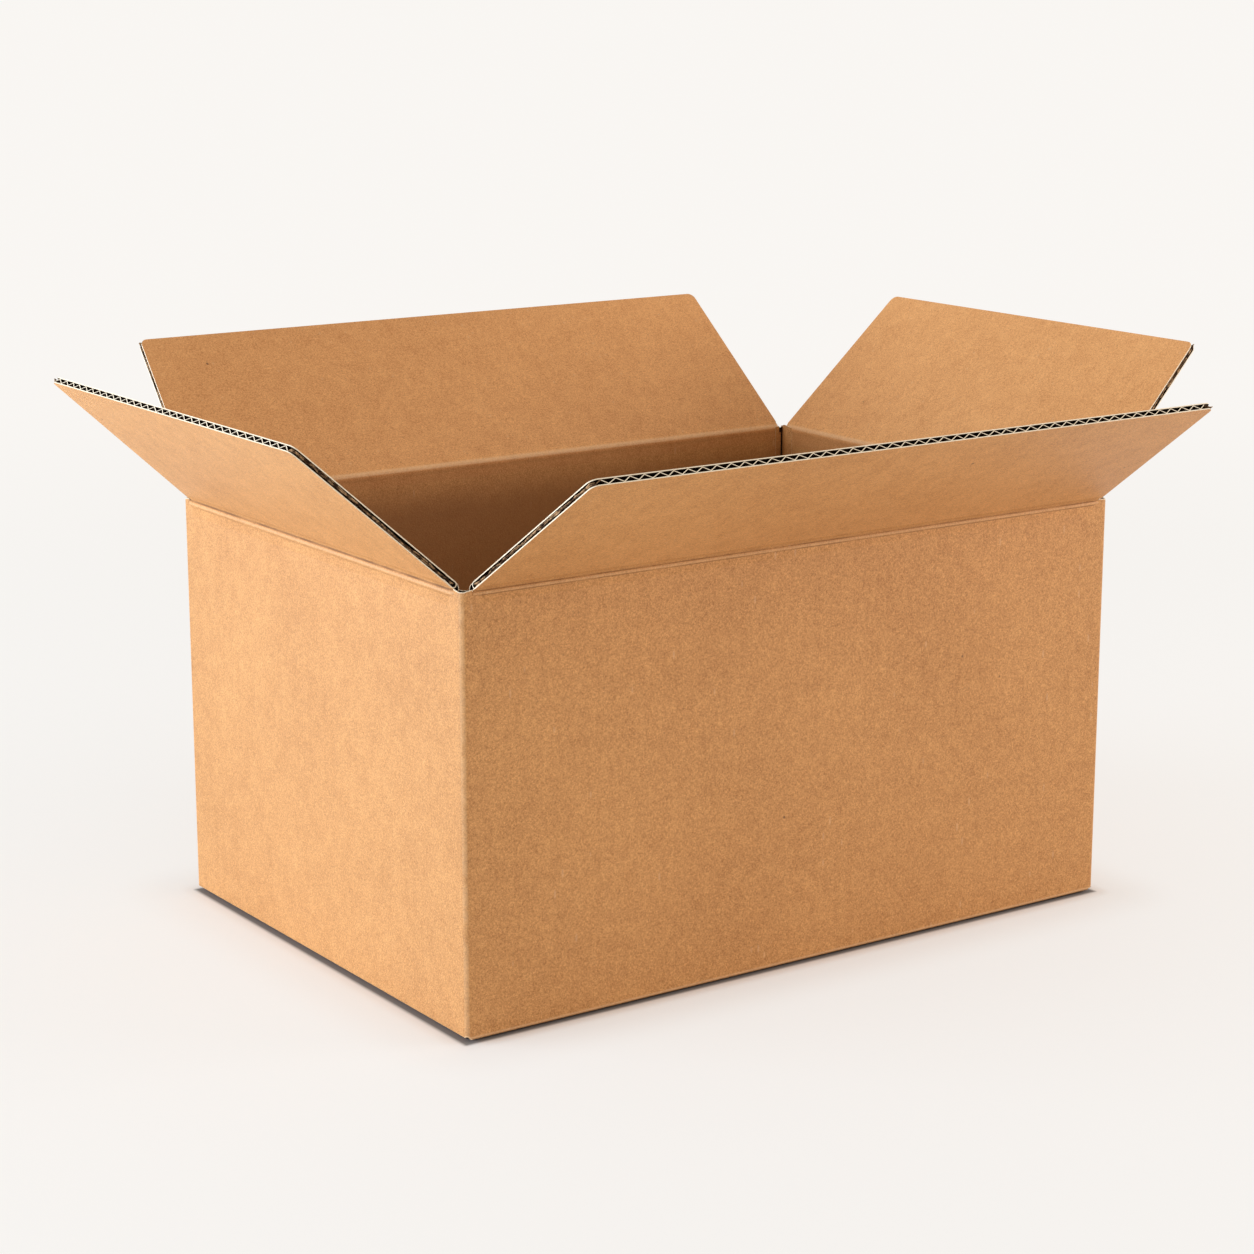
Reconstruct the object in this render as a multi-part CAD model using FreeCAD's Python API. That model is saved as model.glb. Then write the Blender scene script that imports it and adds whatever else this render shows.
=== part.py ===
import FreeCAD, Part
import math
import os
from FreeCAD import Matrix, Vector

# Open shipping box folded and glued from one sheet of single-wall corrugated board.
# Millimetres. +Z is up, X runs along the length, the long front wall faces -Y.
# The origin lies in the middle of the base, on the face the box stands on.

# Box, outside sizes
box_length = 330.0
box_width = 231.0
box_height = 178.0

# Board
board = 2.9
liner = 0.38
medium = 0.30
flute_pitch = 6.35

# Clearance left between a flap and whatever it moves past
clearance = 0.3

# Vertical folds of the walls
fold_radius_outside = 2.6
fold_radius_inside = 0.5

# Top flaps: depth from the crease, set-back of their ends from the corners, narrowing over the depth
flap_depth = 87.0
end_set_back = 5.4
end_taper = 6.2
free_corner_radius = 3.2
channel_start = 9.0

# Leaning angles of the open flaps, measured outward from upright
front_tilt = 55.0
back_tilt = 47.4
left_tilt = 48.2
right_tilt = 45.9

# Creases: pivot line outside the wall, gap at the pivot, and the cut-back of the wall top
pivot_out = 0.35
root_start = 0.45
wall_top_drop = 0.35
crease_notch = 0.6

# The end flaps close under the long flaps. Half of that step is in the crease heights,
# the other half in the end flap, which sits further in than its crease.
level_step = board + clearance
end_recess = level_step / 2
long_crease = box_height + level_step / 4
end_crease = box_height - level_step / 4
lip_length = 0.6
lip_run = 2.0

# Bottom: glued flaps. The long ones are outside and meet at a seam just behind the middle,
# the end ones lie on them.
bottom_seam = 1.0
seam_offset = 2.0
bottom_end_depth = 114.0
bottom_fold_radius = 1.8
bottom_end_gap = 1.2
end_fold_radius = 1.0
slip = 0.1

# Glued joint at the back right corner: the right wall's tab runs outside the back wall
tab_width = 32.0
tab_thickness = 1.9
tab_drop = 14.0
tab_slant = 9.0
joint_gap = 1.2


def rounded_rectangle(x0, y0, x1, y1, radius):
    """Closed wire in the ground plane with four equal corner radii."""
    corners = [(x0, y0), (x1, y0), (x1, y1), (x0, y1)]
    return rounded_polygon(corners, [radius] * 4)


def rounded_polygon(points, radii):
    """Closed wire in the ground plane, each corner rounded by its own radius."""
    count = len(points)
    edges = []
    joints = []
    for i in range(count):
        here = Vector(points[i][0], points[i][1], 0)
        before = Vector(points[i - 1][0], points[i - 1][1], 0)
        after = Vector(points[(i + 1) % count][0], points[(i + 1) % count][1], 0)
        to_before = (before - here).normalize()
        to_after = (after - here).normalize()
        if radii[i] <= 0:
            joints.append((here, None, here))
            continue
        half_angle = to_before.getAngle(to_after) / 2
        reach = radii[i] / math.tan(half_angle)
        start = here + to_before * reach
        end = here + to_after * reach
        middle_direction = (to_before + to_after).normalize()
        centre = here + middle_direction * (radii[i] / math.sin(half_angle))
        middle = centre - middle_direction * radii[i]
        joints.append((start, middle, end))
    for i in range(count):
        start, middle, end = joints[i]
        if middle is not None:
            edges.append(Part.Arc(start, middle, end).toShape())
        next_start = joints[(i + 1) % count][0]
        if (next_start - end).Length > 1e-7:
            edges.append(Part.makeLine(end, next_start))
    return Part.Wire(edges)


def block(x0, y0, z0, x1, y1, z1):
    """Solid box between two corners."""
    return Part.makeBox(x1 - x0, y1 - y0, z1 - z0, Vector(x0, y0, z0))


def placed(shape, origin, x_axis, y_axis, z_axis):
    """Copy of a shape carried from its own frame to the given axes."""
    matrix = Matrix(
        x_axis.x, y_axis.x, z_axis.x, origin.x,
        x_axis.y, y_axis.y, z_axis.y, origin.y,
        x_axis.z, y_axis.z, z_axis.z, origin.z,
        0, 0, 0, 1)
    result = shape.copy()
    result.transformShape(matrix, True)
    return result


def bar(profile, half_length, origin, along, profile_x, profile_y):
    """Straight bar with the given profile, centred on the origin along one direction."""
    points = [Vector(p[0], p[1], -half_length) for p in profile]
    face = Part.Face(Part.makePolygon(points + points[:1]))
    solid = face.extrude(Vector(0, 0, 2 * half_length))
    return placed(solid, origin, profile_x, profile_y, along)


# One entry for each side: outward direction, distance of the outside face from the middle
def sides():
    return {
        "front": (Vector(0, -1, 0), box_width / 2),
        "back": (Vector(0, 1, 0), box_width / 2),
        "left": (Vector(-1, 0, 0), box_length / 2),
        "right": (Vector(1, 0, 0), box_length / 2),
    }


def is_long(side):
    return side in ("front", "back")


def half_width(side):
    """Half the width of a flap at its crease."""
    wall = box_length if is_long(side) else box_width
    return wall / 2 - end_set_back


def crease_height(side):
    return long_crease if is_long(side) else end_crease


# Walls and bottom, one folded sheet

def wall_ring():
    """The four walls with rounded vertical folds, up to the bottom of the corner slots."""
    half_x = box_length / 2
    half_y = box_width / 2
    outside = rounded_rectangle(-half_x, -half_y, half_x, half_y, fold_radius_outside)
    inside = rounded_rectangle(
        -half_x + board, -half_y + board, half_x - board, half_y - board, fold_radius_inside)
    height = end_crease - wall_top_drop - bottom_end_gap
    ring = Part.Face(outside).extrude(Vector(0, 0, height))
    hollow = Part.Face(inside).extrude(Vector(0, 0, height))
    ring = ring.cut(hollow)
    ring.translate(Vector(0, 0, bottom_end_gap))
    return ring


def crease_bank(side):
    """Strip that carries a long wall up to its crease, between the corner slots."""
    outward, distance = sides()[side]
    along = Vector(0, 0, 1).cross(outward)
    top = crease_height(side) - wall_top_drop
    foot = end_crease - wall_top_drop - board - 1.0
    profile = [(0, foot), (0, top), (-board, top), (-board, foot)]
    return bar(profile, half_width(side), outward * distance, along, outward, Vector(0, 0, 1))


def crease_mitre(side):
    """Wedge taken off the inside of a wall top, so that the flap can close inward."""
    outward, distance = sides()[side]
    along = Vector(0, 0, 1).cross(outward)
    top = crease_height(side) - wall_top_drop
    profile = [(1.0, top + 1.0), (-board - 1.0, top - board - 1.0), (-board - 1.0, top + 2.0), (1.0, top + 2.0)]
    return bar(profile, half_width(side) + crease_notch, outward * distance, along, outward, Vector(0, 0, 1))


def bottom_long_flap(front):
    """Outer bottom flap of a long wall with its rounded fold."""
    half_x = box_length / 2 - board - slip
    near = -box_width / 2
    past_middle = seam_offset if front else -seam_offset
    seam = past_middle - bottom_seam / 2
    fold_top = 3 * board
    corners = [
        (near, 0), (seam, 0), (seam, board), (near + board, board), (near + board, fold_top), (near, fold_top)]
    wire = rounded_polygon(corners, [bottom_fold_radius, 0, 0, fold_radius_inside, 0, 0])
    flap = Part.Face(wire).extrude(Vector(0, 0, 2 * half_x))
    if front:
        return placed(flap, Vector(-half_x, 0, 0), Vector(0, 1, 0), Vector(0, 0, 1), Vector(1, 0, 0))
    return placed(flap, Vector(half_x, 0, 0), Vector(0, -1, 0), Vector(0, 0, 1), Vector(-1, 0, 0))


def bottom_end_flap(left):
    """Inner bottom flap of an end wall, glued onto the long ones."""
    half_x = box_length / 2
    half_y = box_width / 2 - board
    x0 = -half_x + board / 2
    x1 = -half_x + bottom_end_depth
    flap = block(x0, -half_y, board, x1, half_y, 2 * board)
    if left:
        return flap
    return placed(flap, Vector(0, 0, 0), Vector(-1, 0, 0), Vector(0, -1, 0), Vector(0, 0, 1))


def end_fold_cut(left):
    """Takes the sharp lower edge off an end wall."""
    radius = end_fold_radius
    half_y = box_width / 2 + tab_thickness + 1.0
    points = [
        Vector(-1.0, -1.0, -half_y),
        Vector(radius, -1.0, -half_y),
        Vector(radius, 0, -half_y),
        Vector(0, radius, -half_y),
        Vector(-1.0, radius, -half_y)]
    middle = Vector(radius * (1 - math.sqrt(0.5)), radius * (1 - math.sqrt(0.5)), -half_y)
    edges = [
        Part.makeLine(points[0], points[1]),
        Part.makeLine(points[1], points[2]),
        Part.Arc(points[2], middle, points[3]).toShape(),
        Part.makeLine(points[3], points[4]),
        Part.makeLine(points[4], points[0])]
    tool = Part.Face(Part.Wire(edges)).extrude(Vector(0, 0, 2 * half_y))
    if left:
        origin = Vector(-box_length / 2, 0, bottom_end_gap)
        return placed(tool, origin, Vector(1, 0, 0), Vector(0, 0, 1), Vector(0, -1, 0))
    origin = Vector(box_length / 2, 0, bottom_end_gap)
    return placed(tool, origin, Vector(-1, 0, 0), Vector(0, 0, 1), Vector(0, 1, 0))


def glue_tab():
    """Fold of the right wall around the back right corner, with its tab outside the back wall."""
    half_x = box_length / 2
    half_y = box_width / 2
    top = end_crease - wall_top_drop
    corner = rounded_polygon(
        [(half_x - board, half_y - fold_radius_outside),
         (half_x, half_y - fold_radius_outside),
         (half_x, half_y + tab_thickness),
         (half_x - board, half_y + tab_thickness)],
        [0, 0, fold_radius_outside, 0])
    post = Part.Face(corner).extrude(Vector(0, 0, top - bottom_end_gap))
    post.translate(Vector(0, 0, bottom_end_gap))
    low = bottom_end_gap + tab_drop / 2
    high = top - tab_drop
    outline = [
        Vector(half_x - board, half_y, low),
        Vector(half_x - board, half_y, high),
        Vector(half_x - tab_width, half_y, high - tab_slant),
        Vector(half_x - tab_width, half_y, low + tab_slant)]
    tab = Part.Face(Part.makePolygon(outline + outline[:1])).extrude(Vector(0, tab_thickness, 0))
    return post.fuse(tab)


def joint_slit():
    """Upright gap between the raw edge of the back wall and the right wall."""
    right = box_length / 2 - board
    back = box_width / 2
    return block(right - joint_gap, back - board - 0.5, 2 * board, right, back, box_height + board)


def box_body():
    body = wall_ring()
    for side in ("front", "back"):
        body = body.fuse(crease_bank(side))
    body = body.fuse(glue_tab())
    for side in sides():
        body = body.cut(crease_mitre(side))
    for left in (True, False):
        body = body.fuse(bottom_end_flap(left))
        body = body.cut(end_fold_cut(left))
    for front in (True, False):
        body = body.fuse(bottom_long_flap(front))
    body = body.cut(joint_slit())
    return body.removeSplitter()


# Top flaps, each drawn flat: X along the crease, Y away from it, Z to the outside of the board

def flute_holes(reach, recess):
    """Triangular openings of the fluted medium, seen on the free edge."""
    low = -recess - board + liner
    high = -recess - liner
    core = high - low
    slope = math.atan2(core, flute_pitch / 2)
    side_step = medium / math.sin(slope) / 2
    tip_step = core * 2 * side_step / flute_pitch
    count = int(reach / flute_pitch) + 1
    holes = []
    for i in range(-count, count + 1):
        middle = i * flute_pitch
        half = flute_pitch / 2 - side_step
        holes.append([(middle - half, low), (middle + half, low), (middle, high - tip_step)])
        other = middle + flute_pitch / 2
        holes.append([(other - half, high), (other, low + tip_step), (other + half, high)])
    return holes


def fluted_plate(reach, recess):
    """Board with open flutes, from where the crease has crushed them to the free edge."""
    wide = reach + 3 * flute_pitch
    outline = [(-wide, -recess - board), (wide, -recess - board), (wide, -recess), (-wide, -recess)]
    wires = []
    for loop in [outline] + flute_holes(reach, recess):
        points = [Vector(p[0], channel_start, p[1]) for p in loop]
        wires.append(Part.makePolygon(points + points[:1]))
    section = Part.makeFace(wires, "Part::FaceMakerBullseye")
    return section.extrude(Vector(0, flap_depth - channel_start, 0))


def flap_root(reach, recess):
    """Crushed board beside the crease, with a mitred end and a lip that reaches the crease."""
    start = root_start
    profile = [(start, 0)]
    if recess > 0:
        profile.append((start + lip_length, 0))
        profile.append((start + lip_length + lip_run, -recess))
    profile.append((channel_start, -recess))
    profile.append((channel_start, -recess - board))
    profile.append((start + recess + board, -recess - board))
    return bar(profile, reach + 2, Vector(0, 0, 0), Vector(1, 0, 0), Vector(0, 1, 0), Vector(0, 0, 1))


def flap_outline(reach, recess):
    """Plan of a flap: slightly tapered ends and rounded free corners."""
    corners = [(-reach, 0), (reach, 0), (reach - end_taper, flap_depth), (-reach + end_taper, flap_depth)]
    wire = rounded_polygon(corners, [0, 0, free_corner_radius, free_corner_radius])
    wire.translate(Vector(0, 0, -recess - board - 1))
    return Part.Face(wire).extrude(Vector(0, 0, recess + board + 2))


def top_flap(side, tilt):
    """One top flap, leaning outward by its tilt."""
    reach = half_width(side)
    recess = 0.0 if is_long(side) else end_recess
    flat = fluted_plate(reach, recess).fuse(flap_root(reach, recess))
    flat = flat.removeSplitter().common(flap_outline(reach, recess))
    outward, distance = sides()[side]
    upward = Vector(0, 0, 1)
    angle = math.radians(tilt)
    away = outward * math.sin(angle) + upward * math.cos(angle)
    normal = outward * math.cos(angle) - upward * math.sin(angle)
    along = upward.cross(outward)
    origin = outward * (distance + pivot_out) + upward * crease_height(side)
    return placed(flat, origin, along, away, normal)


def single_solid(shape):
    """The one solid of a result."""
    if len(shape.Solids) != 1:
        raise ValueError("expected one solid, found %d" % len(shape.Solids))
    return shape.Solids[0]


os.makedirs("parts", exist_ok=True)
nodes = {
    "box_body": box_body(),
    "front_flap": top_flap("front", front_tilt),
    "back_flap": top_flap("back", back_tilt),
    "left_flap": top_flap("left", left_tilt),
    "right_flap": top_flap("right", right_tilt),
}
for name, shape in nodes.items():
    solid = single_solid(shape)
    print(name, "valid", solid.isValid(), "volume", round(solid.Volume, 1), "faces", len(solid.Faces))
    solid.exportStep("parts/" + name + ".step")
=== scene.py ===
import math

import bpy
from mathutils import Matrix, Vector


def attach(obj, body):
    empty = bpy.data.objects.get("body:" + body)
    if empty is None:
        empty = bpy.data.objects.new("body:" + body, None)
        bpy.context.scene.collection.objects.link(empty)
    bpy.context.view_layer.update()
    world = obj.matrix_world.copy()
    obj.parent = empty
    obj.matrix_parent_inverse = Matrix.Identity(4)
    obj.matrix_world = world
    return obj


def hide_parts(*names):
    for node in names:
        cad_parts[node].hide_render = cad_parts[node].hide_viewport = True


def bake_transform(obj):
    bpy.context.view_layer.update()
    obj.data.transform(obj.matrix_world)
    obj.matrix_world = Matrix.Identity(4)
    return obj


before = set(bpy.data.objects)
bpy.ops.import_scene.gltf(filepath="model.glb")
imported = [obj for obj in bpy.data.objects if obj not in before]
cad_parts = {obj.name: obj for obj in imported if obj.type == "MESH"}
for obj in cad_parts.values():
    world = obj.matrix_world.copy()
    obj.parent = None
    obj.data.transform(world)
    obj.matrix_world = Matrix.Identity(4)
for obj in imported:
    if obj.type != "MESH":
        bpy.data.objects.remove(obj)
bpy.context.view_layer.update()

# Sizes of the box, in metres, as the solids have them
MM = 0.001
LENGTH = 330 * MM
WIDTH = 231 * MM
HEIGHT = 178 * MM
BOARD = 2.9 * MM
LINER = 0.44 * MM
MEDIUM = 0.33 * MM
FLUTE = 6.35 * MM
FLAP = 87 * MM
SET_BACK = 5.4 * MM
TAPER = 6.2 * MM
FREE_CORNER = 3.2 * MM
PIVOT_OUT = 0.35 * MM
ROOT_START = 0.45 * MM
LEVEL_STEP = 3.2 * MM
FOLD_RADIUS = 2.6 * MM
JOINT_GAP = 1.2 * MM

# Sizes of what is laid over the solids
SKIN = 0.03 * MM
FOLD_SHEET = 0.3 * MM
FOLD_TAIL = 9 * MM
RIM_TOP = HEIGHT + 1.0 * MM
RIM_SHEET = 0.36 * MM
TORN_BAND = 0.22 * MM
TORN_SHEET = 0.42 * MM
MEDIUM_START = 2.0 * MM
MEDIUM_END = FLAP - 0.12 * MM
TURN_STEPS = 8
TORN_STEPS = 26

# How the camera and the floor stand
PHOTO_PIXELS = 1254
LENS_PIXELS = 2949.5
SENSOR = 36
CAMERA_PLACE = (-0.7246, -1.0352, 0.4196)
CAMERA_YAW = 34.63
CAMERA_PITCH = 13.3
FLOOR_LEVEL = -0.8 * MM

SIDES = {
    "front": {"tilt": 55.0, "turn": 0, "long": True},
    "back": {"tilt": 47.4, "turn": 180, "long": True},
    "left": {"tilt": 48.2, "turn": -90, "long": False},
    "right": {"tilt": 45.9, "turn": 90, "long": False},
}

# Bent liners in section, in millimetres: points measured from the wall, then points measured along the flap
OUTER_LONG = (
    ((-0.05, -9), (0.03, -3), (0.03, -2.15), (0.30, -1.9), (0.50, -1.5), (0.50, -1.1), (0.22, -0.6), (0.10, -0.40)),
    ((0.25, 0.12), (0.8, -0.02), (2.2, -0.03), (6, 0.06)))
OUTER_END = (
    ((-0.05, -9), (0.03, -3), (0.05, -1.5), (0.28, -0.9), (0.46, -0.2), (0.40, 0.4), (0.10, 0.95), (-0.10, 1.3)),
    ((1.25, 0.08), (1.9, -0.03), (3.0, -0.03), (7, 0.06)))
JOINT_ROLL = (
    (-0.12, -7.5), (0.16, -5.6), (0.45, -4.2), (0.60, -3.0), (0.50, -1.9), (0.15, -0.8), (-0.30, 0.2), (-0.60, 2.0))

# Modelling helpers


def deselect():
    if bpy.context.object and bpy.context.object.mode != "OBJECT":
        bpy.ops.object.mode_set(mode="OBJECT")
    bpy.ops.object.select_all(action="DESELECT")


def edit(piece):
    """Opens a piece alone in edit mode with nothing selected."""
    deselect()
    piece.select_set(True)
    bpy.context.view_layer.objects.active = piece
    bpy.ops.object.mode_set(mode="EDIT")
    bpy.ops.mesh.select_all(action="DESELECT")


def choose(piece, kind, test):
    """Selects the vertices, edges or faces whose corner points all pass the test."""
    bpy.ops.mesh.select_mode(type={"vertices": "VERT", "edges": "EDGE", "polygons": "FACE"}[kind])
    bpy.ops.mesh.select_all(action="DESELECT")
    bpy.ops.object.mode_set(mode="OBJECT")
    mesh = piece.data
    for element in getattr(mesh, kind):
        corners = [element.co] if kind == "vertices" else [mesh.vertices[i].co for i in element.vertices]
        element.select = all(test(co) for co in corners)
    bpy.ops.object.mode_set(mode="EDIT")


def near(points, reach=0.01 * MM):
    """A test for vertices that lie on any of the (y, z) points."""
    return lambda co: any(math.hypot(co.y - y, co.z - z) < reach for y, z in points)


def starting_edge(name, half_width, start):
    """A plane cut down to one edge along X, ready to be drawn out into a sheet."""
    deselect()
    bpy.ops.mesh.primitive_plane_add(size=1, location=(0, 0, 0))
    piece = bpy.context.object
    piece.name = name
    edit(piece)
    choose(piece, "vertices", lambda co: co.y > 0)
    bpy.ops.mesh.delete(type="VERT")
    bpy.ops.mesh.select_all(action="SELECT")
    bpy.ops.transform.resize(value=(2 * half_width, 1, 1), center_override=(0, 0, 0))
    bpy.ops.transform.translate(value=(0, start[0] + 0.5, start[1]))
    return piece


def draw_out(path, drift=0):
    """Extrudes the selected edge from point to point of a path in (y, z), with an even drift along X."""
    for before, after in zip(path, path[1:]):
        step = (drift / (len(path) - 1), after[0] - before[0], after[1] - before[1])
        bpy.ops.mesh.extrude_region_move(TRANSFORM_OT_translate={"value": step})


def modify(piece, kind, **settings):
    """Adds a modifier and applies it."""
    deselect()
    piece.select_set(True)
    bpy.context.view_layer.objects.active = piece
    modifier = piece.modifiers.new(kind.title(), kind)
    for key, value in settings.items():
        setattr(modifier, key, value)
    bpy.ops.object.modifier_apply(modifier=modifier.name)


def thicken(piece, thickness, *materials, offset=-1):
    """Gives a sheet its thickness: outside, inside and cut edges each take their own material."""
    piece.data.materials.clear()
    for material in materials:
        piece.data.materials.append(material)
    modify(
        piece, "SOLIDIFY", thickness=thickness, offset=offset, use_even_offset=True,
        material_offset=1, material_offset_rim=2)


def join(pieces, name):
    deselect()
    for piece in pieces:
        piece.select_set(True)
    bpy.context.view_layer.objects.active = pieces[0]
    bpy.ops.object.join()
    result = bpy.context.object
    result.name = name
    result.data.name = name
    return result


def settle(piece, turn=0):
    """Turns a finished piece to its side of the box and puts its place into its mesh."""
    deselect()
    piece.select_set(True)
    bpy.context.view_layer.objects.active = piece
    piece.rotation_euler = (0, 0, math.radians(turn))
    bpy.ops.object.transform_apply(location=True, rotation=True, scale=True)
    bpy.ops.object.shade_smooth_by_angle(angle=math.radians(32))


# Finishes


class Value:
    """A number that changes over the surface, with plain arithmetic."""

    def __init__(self, finish, socket):
        self.finish = finish
        self.socket = socket

    def math(self, operation, *values):
        node = self.finish.node("ShaderNodeMath", {"operation": operation}, dict(enumerate(values)))
        return Value(self.finish, node.outputs[0])

    def __add__(self, other):
        return self.math("ADD", self, other)

    def __sub__(self, other):
        return self.math("SUBTRACT", self, other)

    def __rsub__(self, other):
        return self.math("SUBTRACT", other, self)

    def __mul__(self, other):
        return self.math("MULTIPLY", self, other)

    __radd__ = __add__
    __rmul__ = __mul__

    def size(self):
        return self.math("ABSOLUTE", self)

    def sine(self):
        return self.math("SINE", self)

    def least(self, other):
        return self.math("MINIMUM", self, other)

    def root(self):
        return self.math("SQRT", self)

    def ramp(self, low, high):
        """0 below low, 1 above high, smooth between."""
        node = self.finish.node(
            "ShaderNodeMapRange", {"interpolation_type": "SMOOTHSTEP"},
            {"Value": self, "From Min": low, "From Max": high})
        return Value(self.finish, node.outputs[0])

    def clamp(self):
        node = self.finish.node("ShaderNodeClamp", {}, {"Value": self})
        return Value(self.finish, node.outputs[0])


class Finish:
    """One material, built node by node."""

    def __init__(self, name):
        self.material = bpy.data.materials.new(name)
        self.material.use_nodes = True
        self.tree = self.material.node_tree
        self.tree.nodes.clear()
        coordinates = self.node("ShaderNodeTexCoord", {}, {})
        self.place = coordinates.outputs["Object"]
        self.facing = coordinates.outputs["Normal"]
        self.axes = self.node("ShaderNodeSeparateXYZ", {}, {"Vector": self.place}).outputs

    def node(self, kind, settings, sockets):
        node = self.tree.nodes.new(kind)
        for key, value in settings.items():
            setattr(node, key, value)
        for key, value in sockets.items():
            if isinstance(value, Value):
                value = value.socket
            if isinstance(value, bpy.types.NodeSocket):
                self.tree.links.new(value, node.inputs[key])
            else:
                node.inputs[key].default_value = value
        return node

    def axis(self, name):
        return Value(self, self.axes[name])

    def faces(self, name):
        """How far the surface faces along an axis."""
        node = self.node("ShaderNodeSeparateXYZ", {}, {"Vector": self.facing})
        return Value(self, node.outputs[name])

    def stretched(self, scale):
        return self.node("ShaderNodeMapping", {}, {"Vector": self.place, "Scale": scale}).outputs[0]

    def moved(self, step):
        return self.node("ShaderNodeMapping", {}, {"Vector": self.place, "Location": step}).outputs[0]

    def noise(self, scale, detail=2.0, roughness=0.5, place=None):
        node = self.node("ShaderNodeTexNoise", {}, {
            "Vector": place or self.place, "Scale": scale, "Detail": detail, "Roughness": roughness})
        return Value(self, node.outputs["Fac"])

    def cells(self, scale, place=None):
        """Distance from the nearest scattered point, and a random number for each point."""
        node = self.node("ShaderNodeTexVoronoi", {}, {"Vector": place or self.place, "Scale": scale})
        shade = self.node("ShaderNodeSeparateColor", {}, {"Color": node.outputs["Color"]})
        return Value(self, node.outputs["Distance"]), Value(self, shade.outputs["Red"])

    def dots(self, scale, size, share, place=None):
        """Scattered spots: 1 inside a spot."""
        distance, chance = self.cells(scale, place)
        return (1 - distance.ramp(size * 0.6, size)) * chance.ramp(1 - share, 1 - share + 0.01)

    def blend(self, amount, first, second):
        node = self.node("ShaderNodeMix", {"data_type": "RGBA"}, {"Factor": amount})
        for key, colour in (("A", first), ("B", second)):
            socket = [s for s in node.inputs if s.name == key and s.type == "RGBA"][0]
            if isinstance(colour, bpy.types.NodeSocket):
                self.tree.links.new(colour, socket)
            else:
                socket.default_value = (*colour, 1)
        return [s for s in node.outputs if s.type == "RGBA"][0]

    def bump(self, height, strength, distance):
        node = self.node("ShaderNodeBump", {}, {"Strength": strength, "Distance": distance, "Height": height})
        return node.outputs[0]

    def paper(self, colour, roughness, normal, specular):
        """Ends the material as plain paper."""
        shader = self.node("ShaderNodeBsdfPrincipled", {}, {
            "Base Color": colour, "Roughness": roughness, "Normal": normal, "Specular IOR Level": specular})
        self.node("ShaderNodeOutputMaterial", {}, {"Surface": shader.outputs[0]})
        return self.material


KRAFT_LIGHT = (0.775, 0.390, 0.138)
KRAFT_DARK = (0.385, 0.153, 0.038)
# Lit copy of the kraft for the flaps' inner faces and the inner folds: paler than the walls' kraft, painted light
# standing in for the light falling on the inner faces
LIT_INSIDE_LIGHT = (0.91, 0.465, 0.180)
LIT_INSIDE_DARK = (0.52, 0.205, 0.058)
# Lit copy of the kraft for the flaps' outer faces: paler than the walls' kraft, painted light standing in for the
# light bounced up onto the flaps
LIT_FLAP_LIGHT = (0.86, 0.450, 0.170)
LIT_FLAP_DARK = (0.435, 0.180, 0.049)
# Brown of the painted shade deep inside the box and under the inner creases
KRAFT_SHADE_DEEP = (0.27, 0.105, 0.026)
# Pale colour for rubbed, worn board and for painted highlights on folds and edges
KRAFT_WORN_AND_HIGHLIGHT = (0.86, 0.56, 0.32)
# Dark colour for the pressed lines, with painted shade in the fold grooves
KRAFT_PRESSED_SHADE = (0.20, 0.085, 0.028)
SPECK = (0.10, 0.045, 0.02)
THREAD = (0.74, 0.47, 0.27)
CUT_PALE = (0.97, 0.83, 0.65)
CUT_BROWN = (0.78, 0.58, 0.38)
# Painted shade in holes, open flutes and the medium inside the board
HOLE_SHADE_DARK = (0.016, 0.008, 0.005)
HOLE_SHADE_BROWN = (0.050, 0.024, 0.011)
MEDIUM_DARK = (0.045, 0.020, 0.009)
MEDIUM_LIGHT = (0.56, 0.34, 0.18)
PAPER_WHITE = (0.955, 0.930, 0.900)
FLOOR_MATT = (0.93, 0.925, 0.94)
# Colour of the contact shadow painted on the floor under the box
PAINTED_CONTACT_SHADOW = (0.06, 0.030, 0.016)
# How strongly the painted shade darkens the insides towards the bottom
DEPTH_SHADE_SHARE = 0.78


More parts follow.
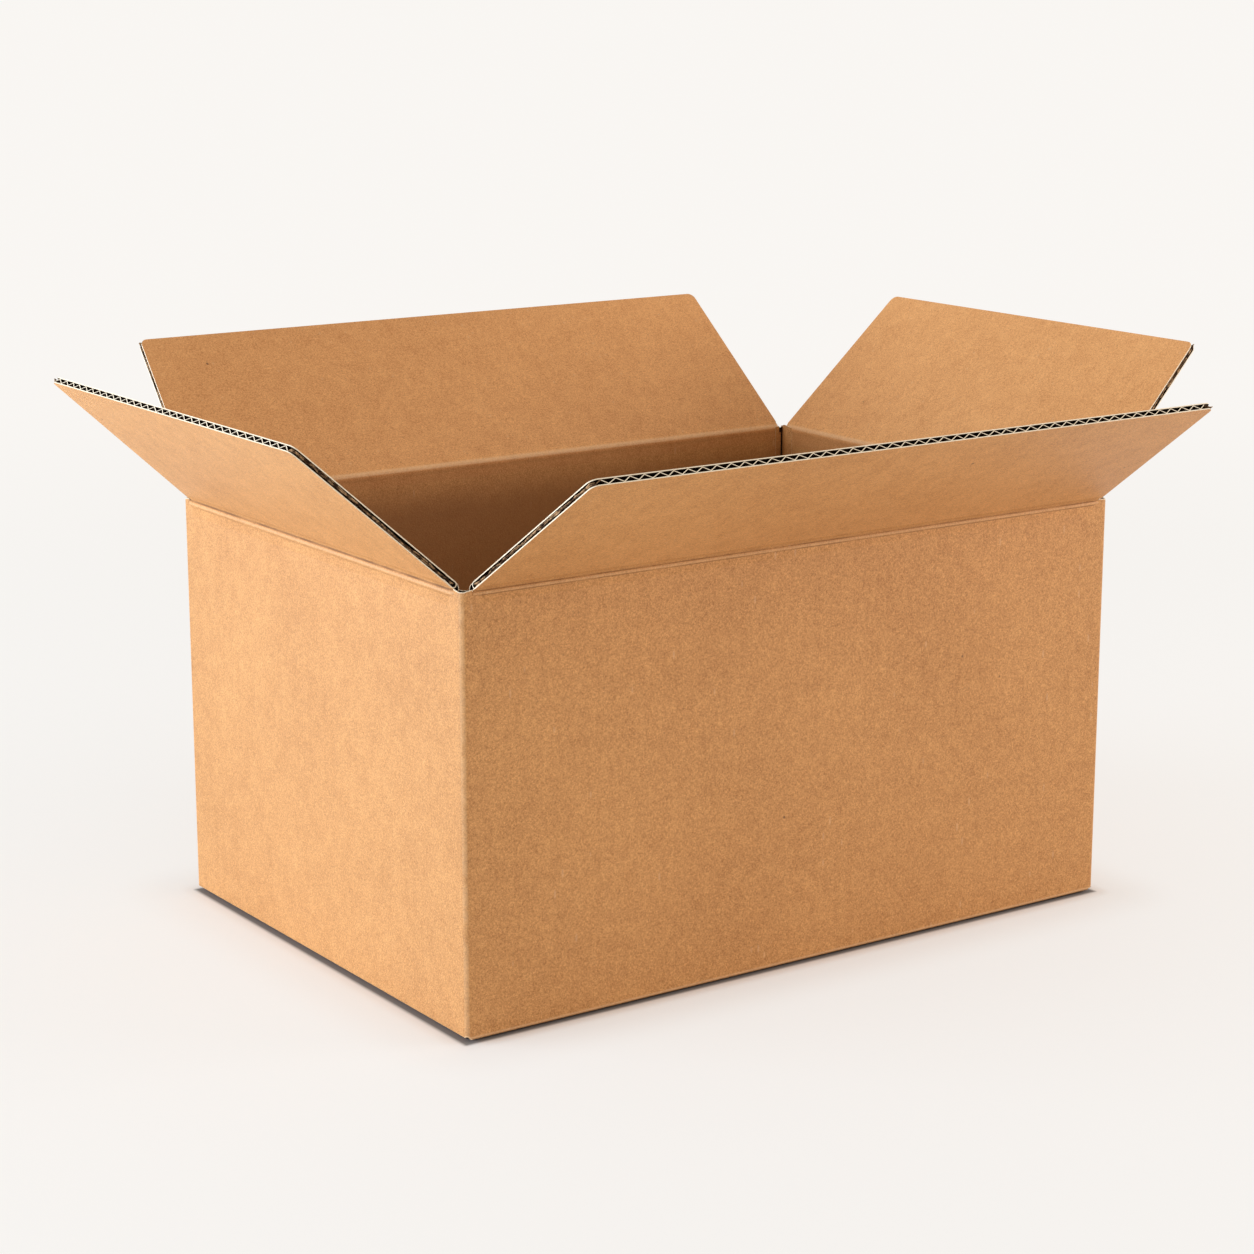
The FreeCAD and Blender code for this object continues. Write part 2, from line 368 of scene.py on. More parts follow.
def kraft(name, along, light=KRAFT_LIGHT, dark=KRAFT_DARK):
    """Brown liner with its fibres and specks. The flutes under it show as faint lines across a side."""
    f = Finish(name)
    x, y, z = f.axis("X"), f.axis("Y"), f.axis("Z")

    # Tone: clouds, blotches, fibres and grain, and curled and straight strands
    cloud = f.noise(14, 3)
    blotch = f.noise(130, 3, 0.55)
    fibre = f.noise(1450, 2, 0.6)
    grain = f.noise(2600, 2, 0.6)
    curl = (f.noise(310, 2, 0.45) - 0.5).size()
    strand = (f.noise(360, 2, 0.45, f.moved((4, 7, 2))) - 0.5).size()
    if along == "both":
        across = f.faces("X").size().ramp(0.4, 0.6)
        flute = x * (1 - across) + y * across
    else:
        flute = x if along == "X" else y
    line = (flute * (2 * math.pi / FLUTE)).sine()
    patch = f.noise(24, 2).ramp(0.35, 0.7)
    tone = (cloud - 0.5) * 0.35 + (blotch - 0.5) * 0.45 + (fibre - 0.5) * 1.5 + (grain - 0.5) * 1.1
    tone = tone + line * patch * 0.02 + (1 - strand.ramp(0, 0.035)) * 0.13 - (1 - curl.ramp(0, 0.03)) * 0.15
    colour = f.blend((tone + 0.5).clamp(), dark, light)
    colour = f.blend(f.dots(95, 0.075, 0.09) * 0.7, colour, SPECK)
    colour = f.blend(f.dots(420, 0.22, 0.18) * 0.2, colour, SPECK)
    colour = f.blend(f.dots(300, 0.2, 0.12, f.stretched((1, 1, 0.3))) * 0.28, colour, THREAD)

    # Rubbed upright corners, partly wear and partly a painted highlight on the rounded fold; a painted highlight
    # along the bottom edges where the fold catches the light; and the small hole where the folds meet at each bottom
    # corner, painted as a pale rim round a spot of painted shade
    from_corner = (x.size() - LENGTH / 2).size() + (y.size() - WIDTH / 2).size()
    rub_and_highlight = 1 - from_corner.ramp(1.53 * MM, 2.1 * MM)
    colour = f.blend(rub_and_highlight * (f.noise(170, 3).ramp(0.25, 0.6) * 0.2 + 0.1), colour, KRAFT_WORN_AND_HIGHLIGHT)
    # Painted highlight: a pale line along the bottom edges where the rounded fold catches the light
    foot_highlight = 1 - (z - 1.2 * MM).size().ramp(0.2 * MM, 1.0 * MM)
    colour = f.blend(foot_highlight * 0.4, colour, KRAFT_WORN_AND_HIGHLIGHT)
    round_corner = (x.size() - LENGTH / 2) - (y.size() - WIDTH / 2)
    from_notch = (round_corner * round_corner * 0.5 + (z - 0.8 * MM) * (z - 0.8 * MM)).root()
    at_corner = 1 - from_corner.ramp(4.6 * MM, 5.4 * MM)
    colour = f.blend(at_corner * (1 - from_notch.ramp(1.3 * MM, 1.8 * MM)) * 0.7, colour, KRAFT_WORN_AND_HIGHLIGHT)
    # Painted shade: a dark spot standing for the hole at the corner
    colour = f.blend(at_corner * (1 - from_notch.ramp(0.9 * MM, 1.25 * MM)), colour, HOLE_SHADE_DARK)

    relief = blotch * 0.3 + fibre * 0.7 + grain * 0.3 + line * patch * 0.08
    relief = relief - (1 - curl.ramp(0, 0.04)) * 0.12
    return f, colour, fibre, relief


def within(f):
    """1 inside the walls, 0 outside them."""
    return (LENGTH / 2 - f.axis("X").size()).least(WIDTH / 2 - f.axis("Y").size()).ramp(1.8 * MM, 2.4 * MM)


def painted_depth_shade(f, colour, share):
    """Painted shade: browner towards the bottom inside the box, standing in for the shade deep inside it."""
    deep = 1 - f.axis("Z").ramp(HEIGHT - 22 * MM, HEIGHT + 2 * MM)
    return f.blend(deep * share, colour, KRAFT_SHADE_DEEP)


def kraft_side(name, along, light=KRAFT_LIGHT, dark=KRAFT_DARK):
    f, colour, fibre, relief = kraft(name, along, light, dark)
    return f.paper(colour, (fibre - 0.5) * 0.25 + 0.54, f.bump(relief, 0.5, 0.25 * MM), 0.45)


def kraft_body():
    """The walls and bottom, darker towards the bottom inside the box as painted shade. The cut tops of the corners
    are painted dark brown, painted shade standing for the open flutes in the middle of the board.
    """
    f, colour, fibre, relief = kraft("kraft_body", "both")
    above_bottom = f.axis("Z").ramp(2.4 * MM, 2.8 * MM)
    # Painted shade: darker towards the bottom inside the walls
    colour = painted_depth_shade(f, colour, within(f) * above_bottom * DEPTH_SHADE_SHARE)
    # Painted shade: the upward cut tops of the corners are coloured dark brown for the open flutes
    cut = f.faces("Z").ramp(0.7, 0.9) * f.axis("Z").ramp(HEIGHT - 16 * MM, HEIGHT - 15 * MM)
    colour = f.blend(cut, colour, HOLE_SHADE_BROWN)
    return f.paper(colour, (fibre - 0.5) * 0.25 + 0.54, f.bump(relief, 0.5, 0.25 * MM), 0.45)


def kraft_fold(name, along, pressed, ridges, inner=False):
    """Liner along a fold: dark in the lines pressed by the creasing wheel, partly the pressing and partly painted
    shade in the grooves; paler on the ridges, partly stretched fibres and partly a painted highlight; with fine
    cracks.
    Lines and ridges are given as level, reach (both in millimetres) and strength."""
    shades = (LIT_INSIDE_LIGHT, LIT_INSIDE_DARK) if inner else (KRAFT_LIGHT, KRAFT_DARK)
    f, colour, fibre, relief = kraft(name, along, *shades)
    z = f.axis("Z")
    crack = f.noise(900, 3, 0.7, f.stretched((1, 1, 3)))
    for level, reach, strength in ridges:
        ridge = 1 - (z - level * MM).size().ramp(reach * 0.3 * MM, reach * MM)
        colour = f.blend(ridge * (crack.ramp(0.35, 0.65) * 0.5 + 0.5) * strength, colour, KRAFT_WORN_AND_HIGHLIGHT)
    for level, reach, strength in pressed:
        line = 1 - (z - level * MM).size().ramp(reach * 0.4 * MM, reach * MM)
        colour = f.blend(line * (f.noise(60, 2).ramp(0.3, 0.6) * 0.5 + 0.5) * strength, colour, KRAFT_PRESSED_SHADE)
    if inner:
        # Painted shade under the inner crease ridge, and painted shade deeper in the box
        shade_under_crease = 1 - z.ramp(HEIGHT - 1 * MM, HEIGHT + 1.5 * MM)
        colour = f.blend(shade_under_crease * within(f) * 0.3, colour, KRAFT_SHADE_DEEP)
        colour = painted_depth_shade(f, colour, within(f) * DEPTH_SHADE_SHARE)
    return f.paper(colour, (fibre - 0.5) * 0.2 + 0.6, f.bump(relief + crack * 0.3, 0.5, 0.25 * MM), 0.4)


def cut_board():
    """Pale cut edge of the liners and the medium, with torn fibres."""
    f = Finish("cut_edge")
    tone = f.noise(1300, 3, 0.6)
    colour = f.blend(tone.ramp(0.22, 0.52), CUT_BROWN, CUT_PALE)
    return f.paper(colour, tone * 0.2 + 0.7, f.bump(tone, 0.5, 0.12 * MM), 0.2)


def flute_shade():
    """Painted shade: the insides of the flutes and the medium in them, coloured nearly black for the shade inside
    the board.
    """
    f = Finish("flute_shade")
    tone = f.noise(500, 3, 0.6)
    colour = f.blend(tone.ramp(0.3, 0.7), HOLE_SHADE_DARK, HOLE_SHADE_BROWN)
    return f.paper(colour, tone * 0.2 + 0.75, f.bump(tone, 0.4, 0.12 * MM), 0.1)


def flute_side():
    """Brown medium with a rough torn face, seen in the side cuts of the flaps."""
    f = Finish("flute_side")
    tone = f.noise(420, 4, 0.65)
    colour = f.blend(tone.ramp(0.4, 0.68), MEDIUM_DARK, MEDIUM_LIGHT)
    return f.paper(colour, tone * 0.2 + 0.72, f.bump(tone, 0.5, 0.2 * MM), 0.15)


KRAFT_BODY = kraft_body()
# The flaps' outer faces take the lit copy of the kraft: painted light
LIT_FLAP_LONG = kraft_side("lit_flap_long", "X", LIT_FLAP_LIGHT, LIT_FLAP_DARK)
LIT_FLAP_END = kraft_side("lit_flap_end", "Y", LIT_FLAP_LIGHT, LIT_FLAP_DARK)
# Fold finishes: pressed lines darkened partly as painted shade, ridges paled partly as a painted highlight; the
# inner ones use the lit copy of the kraft
FOLD_LONG = kraft_fold("fold_long", "X", ((176.70, 0.36, 0.6), (178.42, 0.36, 0.65)), ((177.5, 0.7, 0.3),))
FOLD_END = kraft_fold("fold_end", "Y", ((178.55, 0.6, 0.9), (176.1, 0.5, 0.3)), ((177.3, 0.8, 0.35),))
RIDGE_LONG = kraft_fold("ridge_long", "X", ((177.4, 1.2, 0.12),), ((180.0, 1.4, 0.7),), inner=True)
RIDGE_END = kraft_fold("ridge_end", "Y", ((177.4, 1.2, 0.12),), ((180.2, 1.4, 0.6),), inner=True)
# The flaps' inner faces take the lit copy of the kraft: painted light
LIT_INSIDE_LONG = kraft_side("lit_inside_long", "X", LIT_INSIDE_LIGHT, LIT_INSIDE_DARK)
LIT_INSIDE_END = kraft_side("lit_inside_end", "Y", LIT_INSIDE_LIGHT, LIT_INSIDE_DARK)
CUT_EDGE = cut_board()
FLUTE_SHADE = flute_shade()
FLUTE_SIDE = flute_side()

# Flaps, each drawn on the front side first


def crease(side):
    return HEIGHT + (LEVEL_STEP / 4 if SIDES[side]["long"] else -LEVEL_STEP / 4)


def recess(side):
    """Depth of the outer face below the plane through the pivot."""
    return 0 if SIDES[side]["long"] else LEVEL_STEP / 2


def half_width(side):
    return (LENGTH if SIDES[side]["long"] else WIDTH) / 2 - SET_BACK


def wall_point(side, outward, up):
    """Point (y, z) measured from a wall's outer face and from its crease, in millimetres."""
    wall = (WIDTH if SIDES[side]["long"] else LENGTH) / 2
    return (-(wall + outward * MM), crease(side) + up * MM)


def flap_point(side, away, inward):
    """Point (y, z) measured along the open flap and into it from its outer face."""
    angle = math.radians(SIDES[side]["tilt"])
    wall = (WIDTH if SIDES[side]["long"] else LENGTH) / 2
    inward += recess(side)
    outward = PIVOT_OUT + away * math.sin(angle) - inward * math.cos(angle)
    return (-(wall + outward), crease(side) + away * math.cos(angle) + inward * math.sin(angle))


def depth_in_board(side, co):
    """Distance from a flap's outer face, measured into the board."""
    angle = math.radians(SIDES[side]["tilt"])
    wall = (WIDTH if SIDES[side]["long"] else LENGTH) / 2
    return (co.y + wall + PIVOT_OUT) * math.cos(angle) + (co.z - crease(side)) * math.sin(angle) - recess(side)


def flap_shell(side, face, inside):
    """Both liners of an open flap: one sheet that turns round the pressed end of the board at the crease."""
    turn_start = ROOT_START + BOARD / 2
    free = [flap_point(side, FLAP, 0), flap_point(side, FLAP, BOARD)]
    path = [free[0], flap_point(side, turn_start, 0)]
    for step in range(1, TURN_STEPS):
        angle = math.pi * step / TURN_STEPS
        path.append(flap_point(
            side, turn_start - BOARD / 2 * math.sin(angle), BOARD / 2 * (1 - math.cos(angle))))
    path += [flap_point(side, turn_start, BOARD), free[1]]
    reach = half_width(side)
    shell = starting_edge(side + "_shell", reach, path[0])
    draw_out(path)
    choose(shell, "vertices", near(free))
    bpy.ops.transform.resize(value=((reach - TAPER) / reach, 1, 1), center_override=(0, 0, 0))
    bpy.ops.mesh.bevel(offset=FREE_CORNER, segments=6, affect="VERTICES")
    bpy.ops.mesh.select_all(action="SELECT")
    bpy.ops.mesh.normals_make_consistent(inside=False)
    bpy.ops.object.mode_set(mode="OBJECT")
    thicken(shell, LINER, face, FLUTE_SHADE, CUT_EDGE, inside)
    edit(shell)
    choose(shell, "polygons", lambda co: depth_in_board(side, co) > BOARD - 0.1 * LINER)
    shell.active_material_index = 3
    bpy.ops.object.material_slot_assign()
    bpy.ops.object.mode_set(mode="OBJECT")
    return shell


def fluted_medium(side):
    """The zigzag between the liners: one flute, repeated across the flap, then laid into it."""
    reach = half_width(side)
    start, end = MEDIUM_START, MEDIUM_END
    rise = (BOARD - 2 * LINER) / 2 - MEDIUM * 0.35
    count = 2 * int(reach / FLUTE) + 3
    deselect()
    bpy.ops.mesh.primitive_plane_add(size=1, location=(0, 0, 0))
    medium = bpy.context.object
    medium.name = side + "_medium"
    edit(medium)
    choose(medium, "vertices", lambda co: co.x > 0)
    bpy.ops.mesh.delete(type="VERT")
    bpy.ops.mesh.select_all(action="SELECT")
    bpy.ops.transform.resize(value=(1, end - start, 1), center_override=(0, 0, 0))
    bpy.ops.transform.translate(value=(0.5 - count * FLUTE / 2, (start + end) / 2, -rise))
    for way in (1, -1):
        step = (FLUTE / 2, 0, way * 2 * rise)
        bpy.ops.mesh.extrude_region_move(TRANSFORM_OT_translate={"value": step})
    modify(
        medium, "ARRAY", count=count, use_relative_offset=False, use_constant_offset=True,
        constant_offset_displace=(FLUTE, 0, 0), use_merge_vertices=True, merge_threshold=0.01 * MM)
    edit(medium)
    bpy.ops.mesh.select_all(action="SELECT")
    bpy.ops.transform.vertex_random(offset=0.3 * MM, uniform=1.0, normal=0.0, seed=7 + len(side))
    for level in (rise, -rise):
        choose(medium, "vertices", lambda co: co.z * level > 0)
        bpy.ops.transform.resize(value=(1, 1, 0), center_override=(0, 0, level))
    for level in (start, end):
        choose(medium, "vertices", lambda co: abs(co.y - level) < 5 * MM)
        bpy.ops.transform.resize(value=(1, 0, 1), center_override=(0, level, 0))
    for level in (rise, -rise):
        choose(medium, "edges", lambda co: co.z * level > 0)
        bpy.ops.mesh.bevel(offset=0.3 * MM, segments=2, affect="EDGES")
    for way in (1, -1):
        bpy.ops.mesh.select_all(action="SELECT")
        bpy.ops.mesh.bisect(
            plane_co=(way * (reach - 0.15 * MM), 0, 0), plane_no=(way, TAPER / FLAP, 0), clear_outer=True)
    bpy.ops.mesh.select_all(action="SELECT")
    bpy.ops.transform.translate(value=(0, *flap_point(side, 0, BOARD / 2)))
    bpy.ops.object.mode_set(mode="OBJECT")
    thicken(medium, MEDIUM, FLUTE_SHADE, FLUTE_SHADE, CUT_EDGE, FLUTE_SIDE, offset=0)
    edit(medium)
    choose(medium, "polygons", lambda co: abs(co.x) > reach - TAPER - 5 * MM)
    medium.active_material_index = 3
    bpy.ops.object.material_slot_assign()
    y, z = flap_point(side, 0, BOARD / 2)
    edit(medium)
    bpy.ops.mesh.select_all(action="SELECT")
    tilt = math.radians(SIDES[side]["tilt"] + 90)
    bpy.ops.transform.rotate(value=-tilt, orient_axis="X", center_override=(0, y, z))
    bpy.ops.object.mode_set(mode="OBJECT")
    return medium


def sink_ends(sheet, reach, step):
    """Bends the last millimetres of a fold into the board, so its ends don't stand out."""
    for way in (1, -1):
        bpy.ops.mesh.select_all(action="SELECT")
        bpy.ops.mesh.bisect(plane_co=(way * (reach - 3 * MM), 0, 0), plane_no=(way, 0, 0))
    choose(sheet, "vertices", lambda co: abs(co.x) > reach - 0.01 * MM)
    bpy.ops.transform.translate(value=(0, step, 0))


def torn_strip(side, way):
    """Medium crushed by the slotting knife, left ragged along one side of the flap."""
    first, last = 2.6 * MM, FLAP - 1 * MM
    path = [
        flap_point(side, first + (last - first) * k / TORN_STEPS, BOARD / 2) for k in range(TORN_STEPS + 1)]
    strip = starting_edge(f"{side}_torn_{way}", 0.8 * MM, path[0])
    bpy.ops.transform.translate(value=(way * (half_width(side) - 0.95 * MM), 0, 0))
    draw_out(path, -way * TAPER * (last - first) / FLAP)
    bpy.ops.mesh.select_all(action="SELECT")
    bpy.ops.transform.vertex_random(offset=0.5 * MM, uniform=0.8, normal=0.0, seed=3 * len(side) + way)
    bpy.ops.object.mode_set(mode="OBJECT")
    thicken(strip, TORN_SHEET, FLUTE_SIDE, FLUTE_SIDE, FLUTE_SIDE, offset=0)
    return strip


def outer_fold(side):
    """The outside liner from the wall to the flap, with its pressed line and bead."""
    on_wall, on_flap = OUTER_LONG if SIDES[side]["long"] else OUTER_END
    path = [wall_point(side, *point) for point in on_wall]
    path += [flap_point(side, away * MM, inward * MM) for away, inward in on_flap]
    reach = half_width(side) - 0.15 * MM
    fold = starting_edge(side + "_outer_fold", reach, path[0])
    draw_out(path)
    sink_ends(fold, reach, 0.42 * MM)
    bpy.ops.object.mode_set(mode="OBJECT")
    thicken(fold, FOLD_SHEET, FOLD_LONG if SIDES[side]["long"] else FOLD_END, FLUTE_SHADE, CUT_EDGE)
    return fold


def inner_fold(side):
    """The inside liner from the wall to the flap, with its rounded ridge."""
    rise, away = (1.27, -1.94) if SIDES[side]["long"] else (3.13, -0.34)
    on_wall = ((-2.85, -9), (-2.93, -4), (-2.93, rise - 2.2), (-3.16, rise - 0.45))
    path = [wall_point(side, *point) for point in on_wall]
    ridge = path[-1]
    path += [flap_point(side, (away + step) * MM, BOARD + lift * MM) for step, lift in (
        (1.4, 0.14), (2.6, 0.03), (7, -0.06))]
    reach = half_width(side) - 0.15 * MM
    fold = starting_edge(side + "_inner_fold", reach, path[0])
    draw_out(path)
    choose(fold, "edges", near([ridge]))
    bpy.ops.mesh.bevel(offset=1.0 * MM, segments=5, affect="EDGES")
    sink_ends(fold, reach, -0.3 * MM)
    bpy.ops.mesh.select_all(action="SELECT")
    bpy.ops.mesh.flip_normals()
    bpy.ops.object.mode_set(mode="OBJECT")
    thicken(fold, FOLD_SHEET, RIDGE_LONG if SIDES[side]["long"] else RIDGE_END, FLUTE_SHADE, CUT_EDGE)
    return fold


def open_flap(side):
    """A top flap with its fluted board, joined to its wall by the folded liners."""
    face, inside = (LIT_FLAP_LONG, LIT_INSIDE_LONG) if SIDES[side]["long"] else (LIT_FLAP_END, LIT_INSIDE_END)
    pieces = [
        flap_shell(side, face, inside), fluted_medium(side), torn_strip(side, 1), torn_strip(side, -1),
        outer_fold(side), inner_fold(side)]
    flap = join(pieces, side + "_flap_board")
    settle(flap, SIDES[side]["turn"])

    # Points a little either side of the crease, halfway between the directions of the wall and the flap, are worked
    # out here but not used
    half_tilt = math.radians(SIDES[side]["tilt"] / 2)
    turn = math.radians(SIDES[side]["turn"])
    half_bend = 2.5 * MM
    y, z = wall_point(side, -1.4, 0.6)
    for way in (-1, 1):
        reach = y - way * half_bend * math.sin(half_tilt)
        height = z + way * half_bend * math.cos(half_tilt)
        -reach * math.sin(turn)
        reach * math.cos(turn)
    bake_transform(flap)
    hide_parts(side + "_flap")


# Corners


def upright_edge(name, place, low, high):
    """A plane cut down to one upright edge at (x, y), ready to be drawn round a corner."""
    deselect()
    bpy.ops.mesh.primitive_plane_add(size=1, location=(0, 0, 0))
    piece = bpy.context.object
    piece.name = name
    edit(piece)
    choose(piece, "vertices", lambda co: co.x > 0)
    bpy.ops.mesh.delete(type="VERT")
    bpy.ops.mesh.select_all(action="SELECT")
    bpy.ops.transform.rotate(value=math.pi / 2, orient_axis="X", center_override=(0, 0, 0))
    bpy.ops.transform.resize(value=(1, 1, high - low), center_override=(0, 0, 0))
    bpy.ops.transform.translate(value=(place[0] + 0.5, place[1], (low + high) / 2))
    return piece


def draw_round(path):
    """Extrudes the selected edge from point to point of a path in (x, y)."""
    for before, after in zip(path, path[1:]):
        step = (after[0] - before[0], after[1] - before[1], 0)
        bpy.ops.mesh.extrude_region_move(TRANSFORM_OT_translate={"value": step})


def corner_layer(name, length, width, inset, radius, low, high, dip, ends, sink=0):
    """One layer of the board round the front right corner, its top dipping at the fold."""
    x = length / 2 - inset
    y = -(width / 2 - inset)
    start = (length / 2 - SET_BACK - ends, y)
    end = (x, -(width / 2 - SET_BACK - ends))
    path = [start]
    path += [(start[0] + (x - radius - start[0]) * k / 3, y) for k in (1, 2, 3)]
    for k in range(1, 7):
        angle = math.pi / 2 * k / 6
        path.append((x - radius * (1 - math.sin(angle)), y + radius * (1 - math.cos(angle))))
    path += [(x, y + radius + (end[1] - y - radius) * k / 3) for k in (1, 2, 3)]
    path[0] = (path[0][0], y + sink)
    path[-1] = (x - sink, path[-1][1])
    layer = upright_edge(name, path[0], low, high)
    draw_round(path)
    tip = Vector((x, y))
    for reach, share in ((6.2, 0.25), (4.4, 0.35), (2.6, 0.4)):
        choose(layer, "vertices", lambda co: co.z > (low + high) / 2 and (
            Vector((co.x, co.y)) - tip).length < reach * MM)
        bpy.ops.transform.translate(value=(0, 0, -dip * share))
    bpy.ops.mesh.select_all(action="SELECT")
    bpy.ops.mesh.normals_make_consistent(inside=False)
    return layer


def torn_top(layer, middle, height):
    """Draws the top of a layer up by a narrow band and gives the band the cut-edge finish."""
    choose(layer, "vertices", lambda co: co.z > middle)
    bpy.ops.mesh.select_mode(type="EDGE")
    bpy.ops.mesh.extrude_region_move(TRANSFORM_OT_translate={"value": (0, 0, height)})
    for material in (KRAFT_BODY, FLUTE_SHADE, CUT_EDGE):
        layer.data.materials.append(material)
    choose(layer, "polygons", lambda co: co.z > middle)
    layer.active_material_index = 2
    bpy.ops.object.material_slot_assign()
    bpy.ops.object.mode_set(mode="OBJECT")


def corner_rim(name, turn, length, width, inner_rise, glued=False):
    """The cut top of a corner between two flaps: outer and inner liner with pressed flutes between.
    At the glued corner only the outer liner is laid on."""
    low = HEIGHT - FOLD_TAIL
    outer = corner_layer(
        name + "_outer", length, width, inset=-SKIN, radius=FOLD_RADIUS + SKIN, low=low, high=RIM_TOP,
        dip=0.75 * MM, ends=-0.1 * MM, sink=0.12 * MM)
    torn_top(outer, HEIGHT - 2 * MM, TORN_BAND)
    modify(
        outer, "SOLIDIFY", thickness=RIM_SHEET, offset=-1, use_even_offset=True,
        material_offset=0, material_offset_rim=2)
    if glued:
        settle(outer, turn)
        outer.name = name
        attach(outer, "body")
        return outer
    middle = corner_layer(
        name + "_middle", length, width, inset=BOARD / 2, radius=1.4 * MM, low=HEIGHT - 4 * MM,
        high=RIM_TOP - 0.5 * MM, dip=0.3 * MM, ends=0)
    bpy.ops.object.mode_set(mode="OBJECT")
    thicken(middle, MEDIUM, FLUTE_SIDE, FLUTE_SIDE, FLUTE_SIDE, offset=0)
    inner = corner_layer(
        name + "_inner", length, width, inset=BOARD + SKIN, radius=0.5 * MM, low=low,
        high=RIM_TOP + inner_rise, dip=0.1 * MM, ends=-0.1 * MM)
    bpy.ops.mesh.flip_normals()
    bpy.ops.object.mode_set(mode="OBJECT")
    thicken(inner, LINER, KRAFT_BODY, FLUTE_SHADE, CUT_EDGE)
    rim = join([outer, middle, inner], name)
    settle(rim, turn)
    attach(rim, "body")
    return rim


def upright_sheet(name, path, low, high, thickness, *materials):
    """A sheet standing along a path in (x, y)."""
    sheet = upright_edge(name, path[0], low, high)
    draw_round(path)
    bpy.ops.object.mode_set(mode="OBJECT")
    thicken(sheet, thickness, *materials, offset=0)
    return sheet


def glued_corner():
    """The back right corner inside: the right wall's liner rolls into the tab, past the cut end of the back wall."""
    right, back = LENGTH / 2 - BOARD, WIDTH / 2 - BOARD
    low = BOARD + 1 * MM
    roll = [(right - out * MM, back + along * MM) for out, along in JOINT_ROLL]
    bead = upright_sheet("joint_bead", roll, low, HEIGHT + 1.7 * MM, LINER, KRAFT_BODY, KRAFT_BODY, CUT_EDGE)
    edit(bead)
    for reach, lift in ((3.2, 0.35), (2.2, 0.35), (1.2, 0.3)):
        choose(bead, "vertices", lambda co: co.z > HEIGHT and abs(co.y - back + 2.7 * MM) < reach * MM)
        bpy.ops.transform.translate(value=(0, 0, lift * MM))
    gap = right - JOINT_GAP
    # Painted shade: a thin dark sheet stands in the gap between the bead and the raw end, for the shade in the slot
    slot_shade = upright_sheet(
        "joint_slot_shade", [(gap - 1.1 * MM, back + 0.4 * MM), (right + 0.6 * MM, back + 0.4 * MM)],
        low, HEIGHT + 1.2 * MM, 0.2 * MM, FLUTE_SHADE, FLUTE_SHADE, FLUTE_SHADE)
    raw_path = [
        (LENGTH / 2 - SET_BACK - 2 * MM, back + 0.1 * MM), (gap - 1.7 * MM, back - 0.12 * MM),
        (gap - 1.2 * MM, back + 0.1 * MM), (gap - 1.1 * MM, back + 0.7 * MM)]
    raw_end = upright_sheet(
        "joint_raw_end", raw_path, low, HEIGHT + 1.9 * MM, LINER, KRAFT_BODY, KRAFT_BODY, CUT_EDGE)
    corner = join([bead, slot_shade, raw_end], "glued_corner")
    settle(corner)
    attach(corner, "body")


# Camera, light and floor


def camera():
    lens = bpy.data.cameras.new("camera")
    lens.sensor_width = SENSOR
    lens.lens = LENS_PIXELS / PHOTO_PIXELS * SENSOR
    lens.clip_start = 0.01
    holder = bpy.data.objects.new("camera", lens)
    bpy.context.collection.objects.link(holder)
    holder.location = CAMERA_PLACE
    holder.rotation_euler = (math.pi / 2 - math.radians(CAMERA_PITCH), 0, -math.radians(CAMERA_YAW))
    bpy.context.scene.camera = holder


def lamp(name, place, target, size, power, colour):
    light = bpy.data.lights.new(name, "AREA")
    light.shape = "RECTANGLE"
    light.size, light.size_y = size
    light.energy = power
    light.color = colour
    holder = bpy.data.objects.new(name, light)
    bpy.context.collection.objects.link(holder)
    holder.location = place
    holder.rotation_euler = (Vector(target) - Vector(place)).to_track_quat("-Z", "Y").to_euler()


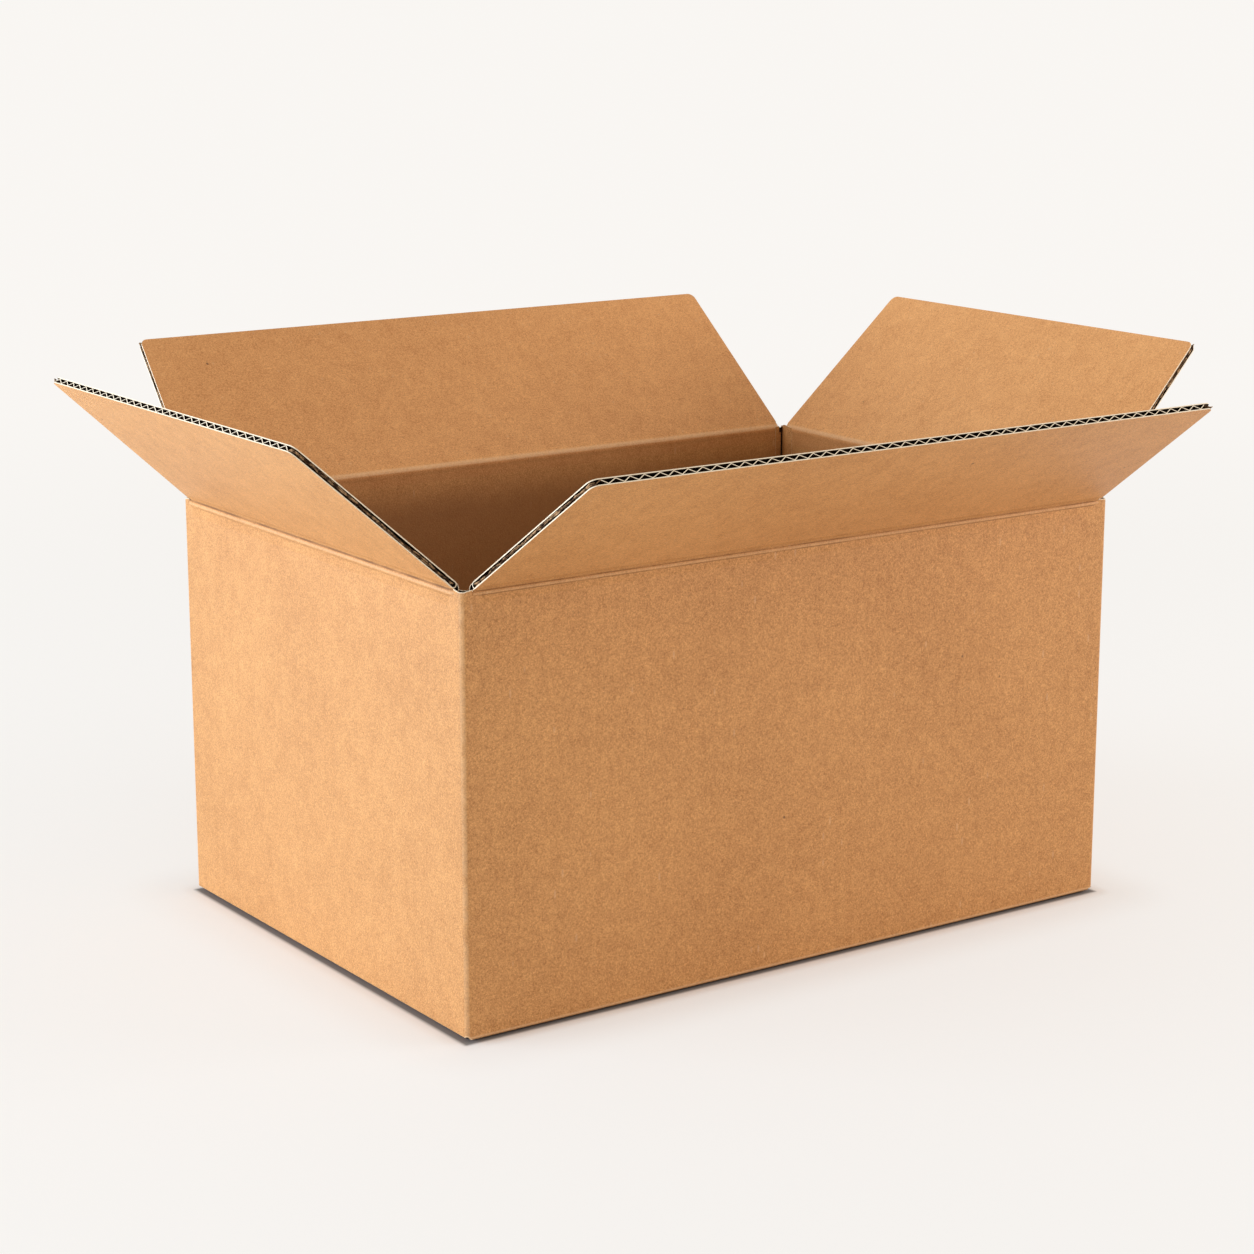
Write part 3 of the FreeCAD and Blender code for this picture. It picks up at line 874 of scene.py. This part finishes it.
def floor():
    """Pale floor that keeps the shadow of the box and runs up to white paper far away, with a painted contact
    shadow: a dark band painted on the floor under the box edges.
    """
    deselect()
    bpy.ops.mesh.primitive_plane_add(size=120, location=(0, 0, FLOOR_LEVEL))
    ground = bpy.context.object
    ground.name = "floor"
    f = Finish("floor")
    view = f.node("ShaderNodeLightPath", {}, {})
    seen = Value(f, view.outputs["Is Camera Ray"])
    glossy = Value(f, view.outputs["Is Glossy Ray"])
    matt = f.node("ShaderNodeBsdfDiffuse", {}, {"Color": (*FLOOR_MATT, 1)})
    glow = f.node("ShaderNodeEmission", {}, {"Color": (*PAPER_WHITE, 1), "Strength": 1.0})
    x, y = f.axis("X"), f.axis("Y")
    far = (x * x + y * y).root().ramp(0.25, 1.6)
    off_x, off_y = (x.size() - LENGTH / 2).clamp(), (y.size() - WIDTH / 2).clamp()
    off = (off_x * off_x + off_y * off_y).root()
    bright = off.ramp(0, 9 * MM) * 0.42 + off.ramp(0, 40 * MM) * 0.3 + far * 0.26
    share = (seen + glossy).clamp() * bright
    mixed = f.node("ShaderNodeMixShader", {}, {0: share, 1: matt.outputs[0], 2: glow.outputs[0]})
    # Painted contact shadow: a dark matt band on the floor along and under the box edges
    under = f.node("ShaderNodeBsdfDiffuse", {}, {"Color": (*PAINTED_CONTACT_SHADOW, 1)})
    clear = off.ramp(-1.2 * MM, 2.4 * MM)
    mixed = f.node("ShaderNodeMixShader", {}, {0: clear, 1: under.outputs[0], 2: mixed.outputs[0]})
    f.node("ShaderNodeOutputMaterial", {}, {"Surface": mixed.outputs[0]})
    ground.data.materials.append(f.material)


def studio():
    world = bpy.data.worlds.new("studio")
    bpy.context.scene.world = world
    world.use_nodes = True
    background = world.node_tree.nodes["Background"]
    background.inputs["Color"].default_value = (1.0, 0.965, 0.86, 1)
    background.inputs["Strength"].default_value = 0.65
    lamp("left_softbox", (-1.9, 0.75, 0.45), (0, 0, 0.1), (1.8, 0.9), 40, (0.90, 1.05, 1.22))
    lamp("front_fill", (0.9, -0.62, 0.45), (0.12, 0, 0.12), (0.6, 0.4), 4.2, (1.03, 0.96, 0.96))
    bpy.context.scene.view_settings.view_transform = "Standard"


for side in SIDES:
    open_flap(side)
corner_rim("front_right_rim", 0, LENGTH, WIDTH, 0.4 * MM)
corner_rim("back_left_rim", 180, LENGTH, WIDTH, 0.8 * MM)
corner_rim("back_right_rim", 90, WIDTH, LENGTH, 0.8 * MM, glued=True)
glued_corner()
corner_rim("front_left_rim", -90, WIDTH, LENGTH, -0.4 * MM)

walls = bpy.data.objects["box_body"]
walls.data.materials.clear()
walls.data.materials.append(KRAFT_BODY)

camera()
floor()
studio()
